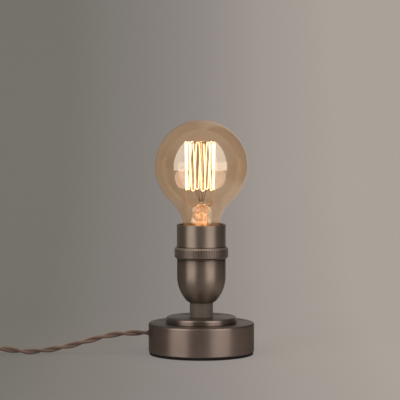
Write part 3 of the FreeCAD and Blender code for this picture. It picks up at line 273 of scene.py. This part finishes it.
def clear_glass(name, colour, index=1.5, waves=0.3, painted_haze=None):
    """Glass with the faint waves of blowing; its colour deepens with each wall.

    The painted haze is an even glow on the glass, standing in for the light of the burning
    filament that the coloured film scatters.
    """
    shader = Shader(name)
    wave = shader.noise(22, 2, 0.4)
    shader.set(
        Base_Color=(*colour, 1),
        Roughness=0.0,
        IOR=index,
        Transmission_Weight=1.0,
        Normal=shader.bump(wave, 0.0004, waves),
    )
    if painted_haze:
        shader.set(Emission_Color=(*painted_haze, 1), Emission_Strength=1.0)
    return shader.material


def glass_with_painted_sparks(name, colour):
    """Pressed glass with painted sparks: a glow in its folds stands in for the filament's light
    that they catch.
    """
    shader = Shader(name)
    fold = shader.noise(260, 3, 0.6)
    dim, bright = (0.03, 0.011, 0.004), (0.36, 0.16, 0.075)
    return shader.set(
        Base_Color=(*colour, 1),
        Roughness=0.05,
        IOR=1.5,
        Transmission_Weight=1.0,
        # Painted sparks: the glow stands in for the filament's light caught in the folds.
        Emission_Color=shader.ramp(fold, (0.42, dim), (0.62, bright)),
        Emission_Strength=1.0,
        Normal=shader.bump(fold, 0.0004, 0.6),
    ).material


def glowing_wire(name):
    """A glowing filament, a little redder in random patches."""
    shader = Shader(name)
    patch = shader.noise(90, 3, 0.6)
    return shader.set(
        Base_Color=(0.1, 0.08, 0.06, 1),
        Roughness=0.6,
        Emission_Color=shader.ramp(patch, (0.3, (1.0, 0.58, 0.28)), (0.6, (1.0, 0.68, 0.4))),
        Emission_Strength=4.0,
    ).material


def braid(name, dark, light):
    """A woven textile sleeve: threads cross at a slant round and along each strand.

    The mesh's map has one unit round the strand across, and metres along it up.
    """
    shader = Shader(name)
    split = shader.add("SeparateXYZ", {"Vector": shader.add("UVMap", uv_map="weave")})
    around = shader.math("MULTIPLY", split.outputs["X"], 8.0)
    along = shader.math("MULTIPLY", split.outputs["Y"], 900.0)
    slants = []
    for operation in ("ADD", "SUBTRACT"):
        run = shader.math(operation, along, around)
        wave = shader.math("SINE", shader.math("MULTIPLY", run, math.pi))
        slants.append(shader.math("MULTIPLY_ADD", wave, 0.5))
    for slant in slants:
        slant.node.inputs[2].default_value = 0.5
    weave = shader.math("MAXIMUM", slants[0], slants[1])
    fuzz = shader.noise(2200, 3, 0.7)
    wear = shader.noise(30, 3, 0.6)
    height = shader.math("ADD", weave, shader.math("MULTIPLY", fuzz, 0.4))
    shade = shader.math("MULTIPLY", weave, shader.math("ADD", wear, 0.25))
    return shader.set(
        Base_Color=shader.ramp(shade, (0.15, dark), (0.75, light)),
        Roughness=0.72,
        Sheen_Weight=0.3,
        Sheen_Roughness=0.5,
        Normal=shader.bump(height, 0.00022, 0.8),
    ).material


# ---------------------------------------------------------------- making meshes
def new_object(name, data):
    made = bpy.data.objects.new(name, data)
    scene.collection.objects.link(made)
    return made


def smooth(made, angle=35):
    """Soft shading everywhere except at edges sharper than an angle."""
    mesh = made.data
    mesh.polygons.foreach_set("use_smooth", [True] * len(mesh.polygons))
    mesh.set_sharp_from_angle(angle=math.radians(angle))
    return made


def lathe(name, section, segments=128, sharp=35):
    """A closed solid of revolution from a closed section of (radius, height) points."""
    mesh = bmesh.new()
    columns = []
    for across, up in section:
        if across < 1e-6:
            columns.append([mesh.verts.new((0, 0, up))])
            continue
        spots = []
        for turn in range(segments):
            angle = 2 * math.pi * turn / segments
            spots.append(mesh.verts.new((across * math.cos(angle), across * math.sin(angle), up)))
        columns.append(spots)
    for index, first in enumerate(columns):
        second = columns[(index + 1) % len(columns)]
        if len(first) == 1 and len(second) == 1:
            continue
        for turn in range(segments):
            after = (turn + 1) % segments
            corners = [first[turn % len(first)], first[after % len(first)]]
            corners += [second[after % len(second)], second[turn % len(second)]]
            face = [spot for place, spot in enumerate(corners) if spot not in corners[:place]]
            mesh.faces.new(face)
    bmesh.ops.recalc_face_normals(mesh, faces=mesh.faces)
    data = bpy.data.meshes.new(name)
    mesh.to_mesh(data)
    mesh.free()
    return smooth(new_object(name, data), sharp)


def dress(made, material, body="lamp", stands_for=()):
    """Gives a piece its material, its body and the CAD nodes that it stands for."""
    made.data.materials.clear()
    made.data.materials.append(material)
    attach(made, body)
    if stands_for:
        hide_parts(*stands_for)
    return made


# ---------------------------------------------------------------- flex
# The route of the flex, in mm, from the base to the switch, to the coil and to the plug.
# It is the route of the solids, so both change together.
LEAD_ROUTE = [
    (-35.0, 0.0, 18.1),
    (-52.0, 0.1, 18.4),
    (-68.0, 0.3, 17.7),
    (-83.0, 0.4, 15.7),
    (-98.0, 0.0, 11.4),
    (-114.0, -0.9, 7.1),
    (-130.0, -2.9, 4.1),
    (-145.0, -5.2, 2.6),
    (-155.5, -7.05, 2.75),
    (-169.0, -9.43, 5.2),
    (-183.0, -11.9, 6.5),
    (-193.5, -13.75, 6.5),
]
LINK_ROUTE = [
    (-240.7, -22.07, 6.5),
    (-250.7, -23.84, 6.5),
    (-262.3, -25.88, 4.4),
    (-274.1, -27.96, 2.6),
    (-284.1, -29.73, 2.6),
]
FLEX_DIAMETER = 5.2
FLEX_HEADING = math.radians(10)
COIL_STEP = 5.75
COIL_INNER_RADIUS = 20.8
COIL_TURNS = 8 + 12.46 / 360
COIL_START_ANGLE = math.radians(-78.77)
COIL_POINTS_PER_TURN = 16
TAIL_STEPS = [(-7.0, 0.0, 0.0), (-15.0, 0.2, -1.5), (-24.0, 0.2, -1.5)]
# The twist of the two cores, in metres.
TWIST_PITCH = 0.0365
STRAND_RADIUS = 0.00131
STRAND_OFFSET = 0.00129
RING_SPACING = 0.0012
FIRST_TWIST = math.radians(40)


def coil_route():
    """In towards the middle on the table, up a layer in half a turn, and out on top."""
    arriving = Vector((-math.cos(FLEX_HEADING), -math.sin(FLEX_HEADING), 0))
    begin = Vector(LINK_ROUTE[-1]) + arriving * FLEX_DIAMETER
    inward = (COIL_TURNS - 0.5) / 2
    outer = COIL_INNER_RADIUS + COIL_STEP * inward
    outward = Vector((math.cos(COIL_START_ANGLE), math.sin(COIL_START_ANGLE), 0))
    centre = Vector((begin.x, begin.y, 0)) - outward * outer
    count = round(COIL_TURNS * COIL_POINTS_PER_TURN)
    step_angle = 2 * math.pi * COIL_TURNS / count
    bulge = 1 / math.cos(step_angle / 2)
    route = []
    for index in range(count):
        turn = COIL_TURNS * (index + 0.5) / count
        angle = COIL_START_ANGLE - 2 * math.pi * turn
        climb = min(max((turn - inward) / 0.5, 0.0), 1.0)
        if turn < inward:
            reach = inward - turn
        elif turn > inward + 0.5:
            reach = turn - inward - 0.5
        else:
            reach = -0.155 * math.sin(math.pi * climb)
        across = (COIL_INNER_RADIUS + COIL_STEP * reach) * bulge
        up = FLEX_DIAMETER / 2 + COIL_STEP * climb * climb * (3 - 2 * climb)
        arm = Vector((math.cos(angle), math.sin(angle), 0)) * across
        route.append(centre + arm + Vector((0, 0, up)))
    last = COIL_START_ANGLE - 2 * math.pi * COIL_TURNS
    end = centre + Vector((math.cos(last), math.sin(last), 0)) * outer
    end.z = FLEX_DIAMETER / 2 + COIL_STEP
    onward = Vector((math.sin(last), -math.cos(last), 0))
    return route, end + onward * FLEX_DIAMETER


def centreline(points):
    """Close points along the smooth line that has these points as its control points."""
    curve = bpy.data.curves.new("route", "CURVE")
    curve.dimensions = "3D"
    curve.resolution_u = 12
    spline = curve.splines.new("NURBS")
    spline.points.add(len(points) - 1)
    for spot, point in zip(spline.points, points):
        spot.co = (*(Vector(point) * MM), 1)
    spline.order_u = 3
    spline.use_endpoint_u = True
    carrier = new_object("route", curve)
    line = bpy.data.meshes.new_from_object(carrier)
    spots = [vertex.co.copy() for vertex in line.vertices]
    bpy.data.objects.remove(carrier)
    bpy.data.curves.remove(curve)
    return spots


def evenly(spots, spacing):
    """The same line with points a fixed distance apart."""
    total = sum((after - before).length for before, after in zip(spots, spots[1:]))
    count = round(total / spacing)
    gap = total / count
    even, travelled, wanted = [spots[0]], 0.0, gap
    for before, after in zip(spots, spots[1:]):
        length = (after - before).length
        while length > 0 and travelled + length >= wanted - 1e-9 and len(even) < count:
            even.append(before.lerp(after, (wanted - travelled) / length))
            wanted += gap
        travelled += length
    even.append(spots[-1])
    return even, total


def frames_along(line):
    """A sideways and a lifted direction at each point, turned as little as possible."""
    frames = []
    side = Vector((0, 1, 0))
    for index, spot in enumerate(line):
        ahead = line[min(index + 1, len(line) - 1)] - line[max(index - 1, 0)]
        ahead.normalize()
        side = (side - ahead * side.dot(ahead)).normalized()
        frames.append((spot, side.copy(), ahead.cross(side)))
    return frames


def strand(mesh, frames, spacing, start_turn, sides=10):
    """One core of the twist, with a map round and along it for the weave."""
    weave = mesh.loops.layers.uv.verify()
    rings = []
    for index, (spot, side, up) in enumerate(frames):
        angle = start_turn + 2 * math.pi * index * spacing / TWIST_PITCH
        outward = side * math.cos(angle) + up * math.sin(angle)
        across = up * math.cos(angle) - side * math.sin(angle)
        middle = spot + outward * STRAND_OFFSET
        ring = []
        for number in range(sides):
            turn = 2 * math.pi * number / sides
            arm = outward * math.cos(turn) + across * math.sin(turn)
            ring.append(mesh.verts.new(middle + arm * STRAND_RADIUS))
        rings.append(ring)
    for index, (first, second) in enumerate(zip(rings, rings[1:])):
        for number in range(sides):
            after = (number + 1) % sides
            face = mesh.faces.new((first[number], first[after], second[after], second[number]))
            face.smooth = True
            turns = (number / sides, (number + 1) / sides)
            runs = (index * spacing, (index + 1) * spacing)
            spots = [(turns[0], runs[0]), (turns[1], runs[0])]
            spots += [(turns[1], runs[1]), (turns[0], runs[1])]
            for loop, spot in zip(face.loops, spots):
                loop[weave].uv = spot
    mesh.faces.new(reversed(rings[0]))
    mesh.faces.new(rings[-1])


def make_flex():
    """Two braided cores twisted round each other, all the way to the plug."""
    coil, coil_end = coil_route()
    tail = [coil_end] + [coil_end + Vector(step) for step in TAIL_STEPS]
    spots = centreline([*LEAD_ROUTE, *LINK_ROUTE, *coil, *tail])
    line, length = evenly(spots, RING_SPACING)
    spacing = length / (len(line) - 1)
    frames = frames_along(line)
    mesh = bmesh.new()
    for start_turn in (FIRST_TWIST, FIRST_TWIST + math.pi):
        strand(mesh, frames, spacing, start_turn)
    data = bpy.data.meshes.new("flex")
    mesh.to_mesh(data)
    mesh.free()
    data.uv_layers[0].name = "weave"
    flex = new_object("flex", data)
    material = braid("braid", (0.027, 0.0142, 0.0096), (0.18, 0.102, 0.073))
    nodes = ("cord_lead", "cord_link", "cord_coil", "cord_tail")
    dress(flex, material, stands_for=nodes)


# ---------------------------------------------------------------- bulb
GLASS_WALL = 0.8 * MM
SEAL_RADIUS = 11.5 * MM
NECK_RADIUS = 15.8 * MM
NECK_RISE = 30.4 * MM
NECK_CURVE = 33.0 * MM
SHOULDER_DROP = 2.6 * MM
SHOULDER_INSET = 2.6 * MM
SHOULDER_BULGE = 0.66 * MM
SEAL_DROP = 4.6 * MM
SHOULDER_STEPS, NECK_STEPS, GLOBE_STEPS = 6, 20, 56
GLOBE_SEGMENTS = 160


def arc_points(start, end, bulge, steps):
    """Points from start to end along an arc that stands off its chord by the bulge."""
    start, end = Vector(start), Vector(end)
    chord = end - start
    right = Vector((chord.y, -chord.x)).normalized()
    curve = (chord.length**2 / 4 + bulge**2) / (2 * bulge)
    centre = (start + end) / 2 + right * (bulge - curve)
    half = math.asin(chord.length / 2 / curve)
    points = []
    for step in range(steps + 1):
        angle = half * (2 * step / steps - 1)
        along = chord.normalized() * math.sin(angle)
        points.append(tuple(centre + (right * math.cos(angle) + along) * curve))
    return points


def globe_section():
    """The glass from its seal in the cap, out through the neck and round the globe."""
    radius_out = radius("bulb_glass")
    centre = LAMP_TOP - radius_out
    neck, curve = NECK_RADIUS, NECK_CURVE
    neck_bottom = bottom("bulb_contact") + NECK_RISE
    shoulder = neck_bottom - SHOULDER_DROP
    rise = centre - neck_bottom
    gap = neck**2 + rise**2
    along = (curve**2 - (radius_out + curve) ** 2 + gap) / (2 * gap)
    aside = math.sqrt(curve**2 / gap - along**2)
    across = neck - neck * along + rise * aside
    up = neck_bottom + rise * along + neck * aside
    start = math.atan2(neck_bottom - up, neck - across)
    lean = math.atan2(centre - up, across)
    outer = [(SEAL_RADIUS, bottom("bulb_glass")), (SEAL_RADIUS, shoulder - SEAL_DROP)]
    inset = (neck - SHOULDER_INSET, shoulder)
    outer += arc_points(inset, (neck, neck_bottom), SHOULDER_BULGE, SHOULDER_STEPS)
    for step in range(1, NECK_STEPS + 1):
        angle = start + (math.pi - lean - start) * step / NECK_STEPS
        outer.append((across + curve * math.cos(angle), up + curve * math.sin(angle)))
    for step in range(1, GLOBE_STEPS + 1):
        angle = (math.pi / 2 + lean) * step / GLOBE_STEPS - lean
        outer.append((radius_out * math.cos(angle), centre + radius_out * math.sin(angle)))
    outer[-1] = (0.0, centre + radius_out)
    inner = []
    for index, (across, up) in enumerate(outer):
        before = Vector(outer[max(index - 1, 0)])
        after = Vector(outer[min(index + 1, len(outer) - 1)])
        along = (after - before).normalized()
        inward = Vector((-along.y, along.x))
        spot = Vector((across, up)) + inward * GLASS_WALL
        inner.append((max(spot.x, 0.0), spot.y))
    inner[0] = (outer[0][0] - GLASS_WALL, outer[0][1])
    inner[-1] = (0.0, outer[-1][1] - GLASS_WALL)
    return outer + inner[::-1]


def make_bulb():
    glass = lathe("globe", globe_section(), GLOBE_SEGMENTS, 60)
    # The last colour is the globe's painted haze, a glow for the filament's light in the amber
    # film.
    amber = clear_glass("amber_glass", (0.866, 0.79, 0.66), 1.79, 0.3, (0.036, 0.018, 0.0085))
    dress(glass, amber, "bulb", ("bulb_glass",))
    glass.visible_shadow = False


# ---------------------------------------------------------------- CAD nodes and their finish
def painted_top_shade(node, share):
    """Painted shade that darkens the flat top of a node, standing in for the dimmer reflection it
    catches.
    """
    level = top(node) / MM
    return (level - 0.3, 1.0), (level - 0.02, share)


def finish_nodes():
    # The holder, foot, middle and union colours are lighter and darker copies of one bronze:
    # painted light and shade for how brightly each part is lit.
    holder = (0.258, 0.209, 0.174), (0.313, 0.253, 0.209)
    foot = (0.223, 0.175, 0.151), (0.27, 0.213, 0.181)
    middle = (0.19, 0.15, 0.128), (0.23, 0.182, 0.154)
    union = (0.169, 0.134, 0.115), (0.205, 0.163, 0.138)
    dull = (0.108, 0.087, 0.069), (0.122, 0.1, 0.08)
    low, high = bottom("holder_ring") / MM, top("holder_ring") / MM
    # Painted shade: the cup darkens towards the ring, standing in for the shadow under the ring
    # and in the gap below it.
    cup_painted_shade = (
        (low - 8.8, 1.0),
        (low - 4.3, 0.85),
        (low - 1.2, 0.62),
        (low - 0.7, 0.3),
        (low, 0.25),
    )
    # Painted highlight: the ring's top bevel is made lighter.
    ring_painted_highlight = (high - 1.9, 1.0), (high - 1.6, 1.9), (high - 0.1, 1.9), (high, 1.2)
    # Painted shade: the skirt's lowest millimetre, where it meets the ring, is made darker.
    skirt_painted_shade = (high, 0.35), (high + 0.7, 0.45), (high + 1.0, 1.0)
    steel = plain_metal("zinc_plate", (0.55, 0.55, 0.53), 0.35)
    brass = plain_metal("brass", (0.72, 0.5, 0.2), 0.28)
    mount = glass_with_painted_sparks("mount_glass", (0.97, 0.93, 0.88))
    wire = plain_metal("support_wire", (0.2, 0.16, 0.12), 0.5)
    plastic = moulded("switch_plastic", (0.055, 0.04, 0.032))
    rubber = moulded("bush_rubber", (0.03, 0.026, 0.024), 0.6)
    sleeve = moulded("core_sleeve", (0.3, 0.2, 0.15), 0.5)
    finishes = {
        # The pad is black felt, darkened further as painted shade for the shadow under the base.
        "base_pad": felt("pad_felt", (0.006, 0.0055, 0.005)),
        "base_shell": bronze(
            "bronze_base", *foot, painted_light_bands=painted_top_shade("base_shell", 0.6), edge=0.45, top_edge=1.0
        ),
        "bottom_plate": steel,
        "plate_screws": steel,
        "base_weight": cast_iron("weight_iron"),
        "threaded_tube": steel,
        "base_washer": steel,
        "base_nut": steel,
        "holder_washer": steel,
        "holder_nut": steel,
        "gallery_disc": bronze(
            "bronze_disc", *middle, gloss=0.32, painted_light_bands=painted_top_shade("gallery_disc", 0.66)
        ),
        "stem_spacer": bronze("bronze_stem", *dull, 0.2, 0.62, 0.0),
        "holder_cup": bronze("bronze_cup", *holder, painted_light_bands=cup_painted_shade, edge=0.45),
        "holder_ring": bronze("bronze_ring", *union, 0.9, 0.44, 0.3, ring_painted_highlight),
        "holder_skirt": bronze("bronze_skirt", *holder, gloss=0.4, painted_light_bands=skirt_painted_shade),
        "ceramic_insert": porcelain("porcelain"),
        "terminal_blocks": brass,
        "terminal_screws": steel,
        "centre_contact": brass,
        "screw_shell": brass,
        "bulb_contact": plain_metal("solder", (0.5, 0.5, 0.48), 0.5),
        "bulb_insulator": moulded("black_glass", (0.01, 0.01, 0.01), 0.12),
        "bulb_cap": plain_metal("cap_brass", (0.78, 0.58, 0.28), 0.25),
        "glass_mount": mount,
        "glass_rod": clear_glass("rod_glass", (0.97, 0.93, 0.88), 1.5, 0.6),
        "filament": glowing_wire("filament_glow"),
        "upper_supports": wire,
        "lower_supports": wire,
        # Painted glow: the lead-in wires glow with the filament's light that falls on them.
        "lead_in_wires": plain_metal("lead_wire", (0.3, 0.2, 0.13), 0.4, painted_glow=(0.35, 0.14, 0.06)),
        "cord_bush": rubber,
        "cord_stop": rubber,
        "core_live": sleeve,
        "core_neutral": sleeve,
        "switch_base": plastic,
        "switch_cover": plastic,
        "switch_rocker": plastic,
        "switch_screws": steel,
        "switch_contacts": brass,
        "plug_body": moulded("plug_plastic", (0.055, 0.04, 0.032)),
        "plug_pins": plain_metal("pin_nickel", (0.7, 0.66, 0.58), 0.2),
    }
    for node, material in finishes.items():
        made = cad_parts[node]
        smooth(made, 25)
        if not made.material_slots:
            made.data.materials.append(material)
        for slot in made.material_slots:
            slot.material = material


# ---------------------------------------------------------------- studio
def backdrop_material():
    """A matt sweep with a painted light that gets lighter from left to right, and is seen from
    its front only.
    """
    shader = Shader("sweep")
    back = shader.add("NewGeometry").outputs["Backfacing"]
    clear = shader.add("BsdfTransparent").outputs["BSDF"]
    front = shader.surface.outputs["BSDF"]
    one_sided = shader.add("MixShader", {0: back, 1: front, 2: clear})
    shader.links.new(one_sided.outputs[0], shader.nodes["Material Output"].inputs["Surface"])
    split = shader.add("SeparateXYZ", {"Vector": shader.place()})
    across = shader.add(
        "MapRange",
        {"Value": split.outputs["X"], "From Min": -0.4, "From Max": 0.45},
    )
    # Painted light: the sweep's glow rises from left to right and falls off beyond the right.
    painted_light_gradient = shader.ramp(
        across.outputs["Result"],
        (0.279, (0.122, 0.12, 0.102)),
        (0.389, (0.174, 0.159, 0.147)),
        (0.471, (0.22, 0.199, 0.19)),
        (0.552, (0.291, 0.258, 0.234)),
        (0.66, (0.344, 0.312, 0.276)),
        (0.76, (0.344, 0.312, 0.276)),
        (0.98, (0.05, 0.046, 0.041)),
    )
    return shader.set(
        Base_Color=(0.06, 0.057, 0.054, 1),
        Roughness=0.9,
        Specular_IOR_Level=0.1,
        Emission_Color=painted_light_gradient,
        Emission_Strength=1.0,
    ).material


def make_sheet(name, section, half_width, material):
    """A sheet as wide as it is drawn deep, from its section of (across, up) points."""
    mesh = bmesh.new()
    columns = [
        [mesh.verts.new((side * half_width, across, up)) for across, up in section]
        for side in (-1, 1)
    ]
    for index in range(len(section) - 1):
        left, right = columns
        corners = (left[index], right[index], right[index + 1], left[index + 1])
        mesh.faces.new(corners).smooth = True
    data = bpy.data.meshes.new(name)
    mesh.to_mesh(data)
    mesh.free()
    data.materials.append(material)
    sheet = new_object(name, data)


def make_sweep():
    """A floor that curves up into a wall behind, and a plain floor for views from behind."""
    half_width, front, back, height, bend, steps = 3.0, -2.6, 0.75, 3.0, 0.5, 16
    section = [(front, 0.0), (back - bend, 0.0)]
    for step in range(1, steps + 1):
        angle = math.pi / 2 * step / steps
        across = back - bend + bend * math.sin(angle)
        section.append((across, bend - bend * math.cos(angle)))
    section.append((back, height))
    material = backdrop_material()
    make_sheet("sweep", section, half_width, material)
    make_sheet("far_floor", [(0.0, -MM), (4.5, -MM)], half_width, material)


def soft_box(name, place, aim, size, power, colour):
    data = bpy.data.lights.new(name, "AREA")
    data.shape = "RECTANGLE"
    data.size, data.size_y = size
    data.energy = power
    data.color = colour
    light = new_object(name, data)
    light.location = place
    light.rotation_euler = (Vector(aim) - Vector(place)).to_track_quat("-Z", "Y").to_euler()
    return light


def hide(light, *rays):
    """Keeps a light out of what some kinds of ray see of it."""
    for ray in rays:
        setattr(light, f"visible_{ray}", False)


BOX_AWAY, BOX_MIDDLE, BOX_SIZE, BOX_POWER = 1.2, 1.1, (0.93, 2.2), 15.2
CARD_AWAY, CARD_HEIGHT, CARD_SIZE = 0.8, 0.008, (0.37, 1.3)
CARD_COLOUR = (1, 0.6, 0.46)
BOX_COLOUR = (1, 0.95, 0.9)
# Each side's name, its bearing from the front in degrees, and its card's power.
SIDES = ("left_box", -50, 4.5), ("right_box", 43.5, 2.2)


def make_lights():
    """Two tall soft boxes at the front corners, a top box, and the lit filament's light.

    The low card under each soft box is seen by the glass of the bulb alone.
    """
    only_glass = bpy.data.collections.new("only_glass")
    only_glass.objects.link(scene.objects["globe"])
    aim = (0, 0, BOX_MIDDLE)
    for name, bearing, card_power in SIDES:
        angle = math.radians(bearing)
        across, along = math.sin(angle), -math.cos(angle)
        place = (BOX_AWAY * across, BOX_AWAY * along, BOX_MIDDLE)
        soft_box(name, place, aim, BOX_SIZE, BOX_POWER, BOX_COLOUR)
        card = soft_box(f"{name}_card", place, aim, CARD_SIZE, card_power, CARD_COLOUR)
        card.data.shape = "ELLIPSE"
        card.location = (CARD_AWAY * across, CARD_AWAY * along, CARD_HEIGHT)
        card.rotation_euler = (math.pi, 0, angle)
        card.light_linking.receiver_collection = only_glass
        hide(card, "camera", "transmission")
    top_box = soft_box("top_box", (0, 0.2, 2.4), (0, 0, 0.1), (1.2, 1.2), 8.0, BOX_COLOUR)
    hide(top_box, "glossy", "transmission")
    data = bpy.data.lights.new("filament_light", "POINT")
    data.energy = 0.35
    data.color = (1, 0.6, 0.32)
    data.shadow_soft_size = 0.012
    light = new_object("filament_light", data)
    light.location = (0, 0, LAMP_TOP - radius("bulb_glass"))
    hide(light, "camera", "transmission", "glossy")


def make_room():
    """A dim even room that gets lighter towards its ceiling."""
    world = bpy.data.worlds.new("room")
    world.use_nodes = True
    nodes, links = world.node_tree.nodes, world.node_tree.links
    way = nodes.new("ShaderNodeTexCoord")
    split = nodes.new("ShaderNodeSeparateXYZ")
    sky = nodes.new("ShaderNodeValToRGB")
    floor_end, ceiling_end = sky.color_ramp.elements
    floor_end.position, floor_end.color = 0.1, (0.11, 0.1, 0.092, 1)
    ceiling_end.position, ceiling_end.color = 0.95, (0.4, 0.375, 0.35, 1)
    links.new(way.outputs["Generated"], split.inputs["Vector"])
    links.new(split.outputs["Z"], sky.inputs["Fac"])
    links.new(sky.outputs["Color"], nodes["Background"].inputs["Color"])
    scene.world = world


make_camera()
make_flex()
make_bulb()
finish_nodes()
make_sweep()
make_lights()
make_room()
scene.view_settings.view_transform = "Standard"
